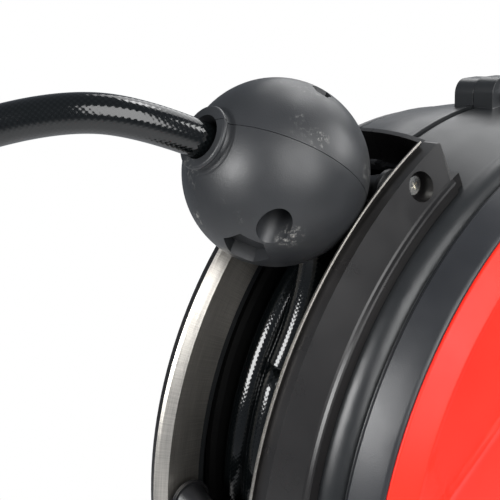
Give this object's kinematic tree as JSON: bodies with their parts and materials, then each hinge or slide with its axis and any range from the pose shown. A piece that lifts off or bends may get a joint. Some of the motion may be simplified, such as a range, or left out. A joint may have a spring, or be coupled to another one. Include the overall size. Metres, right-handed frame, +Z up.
{
  "type": "wall hose reel",
  "caption": "Wall-mounted retractable hose reel: round two-part case on a swivel bracket, slot with steel guide strips and rollers, ball stop, and a free hose end with a twist nozzle.",
  "frame": {"origin": "centre of the wall plate's back face", "axes": "+Z up, the wall is the plane Y = 0 and the reel stands off it towards -Y, the case axis runs along X"},
  "size_m": [0.2515, 0.8284, 0.6573],
  "materials": {
    "case_black": "satin",
    "ring_grey": "matt",
    "cover_red": "gloss",
    "frame_black": "satin",
    "strip_steel": "brushed",
    "screw_steel": "polished",
    "zinc_steel": "zinc plated",
    "bracket_paint": "powder coated",
    "axle_steel": "machined",
    "drum_plastic": "matt",
    "bush_plastic": "satin",
    "seal_rubber": "matt",
    "brass": "machined",
    "ball_charcoal": "satin",
    "hose_black": "gloss",
    "ferrule_steel": "crimped",
    "nozzle_black": "satin",
    "nozzle_red": "gloss"
  },
  "bodies": {
    "wall_bracket": {"wall_plate": "bracket_paint", "bracket_arm_upper": "bracket_paint", "bracket_arm_lower": "bracket_paint", "hinge_pin": "zinc_steel", "hinge_pin_clip": "zinc_steel", "swivel_washers": "zinc_steel"},
    "case": {"case_half_right": "case_black", "case_half_left": "case_black", "side_ring_right": "ring_grey", "side_ring_left": "ring_grey", "side_cover_right": "cover_red", "side_cover_left": "cover_red", "slot_frame_right": "frame_black", "slot_frame_left": "frame_black", "guide_strip_right": "strip_steel", "guide_strip_left": "strip_steel", "frame_screws": "screw_steel", "case_bolts": "zinc_steel", "case_nuts": "zinc_steel", "cover_screws": "screw_steel", "swivel_block": "bracket_paint", "block_screws": "screw_steel", "roller_pins": "zinc_steel", "axle": "axle_steel", "axle_nuts": "zinc_steel", "pawl_pin": "zinc_steel", "spring_arbor": "axle_steel"},
    "drum": {"drum_hub": "drum_plastic", "drum_flange_right": "drum_plastic", "drum_flange_left": "drum_plastic", "ratchet_ring": "axle_steel", "spring_housing": "axle_steel", "power_spring": "axle_steel", "hub_bushings": "bush_plastic", "hub_manifold": "brass", "manifold_seals": "seal_rubber", "hub_outlet": "brass", "flange_screws": "zinc_steel", "hose_pack": "hose_black"},
    "pawl": {"pawl": "zinc_steel"},
    "upper_roller": {"guide_roller_upper": "bush_plastic"},
    "lower_roller": {"guide_roller_lower": "bush_plastic"},
    "inlet": {"inlet_elbow": "brass"},
    "hose_run": {"ball_half_upper": "ball_charcoal", "ball_half_lower": "ball_charcoal", "ball_screws": "screw_steel", "ball_nuts": "screw_steel", "hose_lead": "hose_black", "hose_leader": "hose_black", "hose_ferrule": "ferrule_steel", "nozzle_body": "nozzle_black"},
    "nozzle_head": {"nozzle_sleeve": "nozzle_red", "nozzle_bumper": "seal_rubber"}
  },
  "joints": [
    {"name": "case_swivel", "type": "hinge", "parent": "wall_bracket", "child": "case", "pos_m": [0, -0.085, 0], "axis": [0, 0, 1], "range_deg": [-75, 80]},
    {"name": "hose_pull", "type": "slide", "parent": "case", "child": "hose_run", "axis": [0, -0.9063, 0.4226], "range_m": [0, 0.0994], "stiffness_N_per_m": 60, "springref_m": -0.3},
    {"name": "drum_spin", "type": "hinge", "parent": "case", "child": "drum", "pos_m": [0, -0.335, 0], "axis": [-1, 0, 0], "range_deg": [0, 30.1]},
    {"name": "pawl_swing", "type": "hinge", "parent": "case", "child": "pawl", "pos_m": [0.055, -0.365, 0.084], "axis": [-1, 0, 0], "range_deg": [0, 12], "stiffness_Nm_per_rad": 0.05, "springref_deg": -17.19},
    {"name": "upper_roller_spin", "type": "hinge", "parent": "case", "child": "upper_roller", "pos_m": [0, -0.47196, 0.17914], "axis": [1, 0, 0], "continuous": true},
    {"name": "lower_roller_spin", "type": "hinge", "parent": "case", "child": "lower_roller", "pos_m": [0, -0.56046, 0.00433], "axis": [1, 0, 0], "continuous": true},
    {"name": "inlet_swivel", "type": "hinge", "parent": "case", "child": "inlet", "pos_m": [-0.122, -0.335, 0], "axis": [1, 0, 0], "continuous": true},
    {"name": "nozzle_twist", "type": "hinge", "parent": "hose_run", "child": "nozzle_head", "pos_m": [-0.122, -0.802, -0.285], "axis": [-0.0285, -0.0381, -0.9989], "range_deg": [0, 90]}
  ],
  "couplings": [
    {"joint": "drum_spin", "follows": "hose_pull", "rad_per_m": 5.2632}
  ]
}
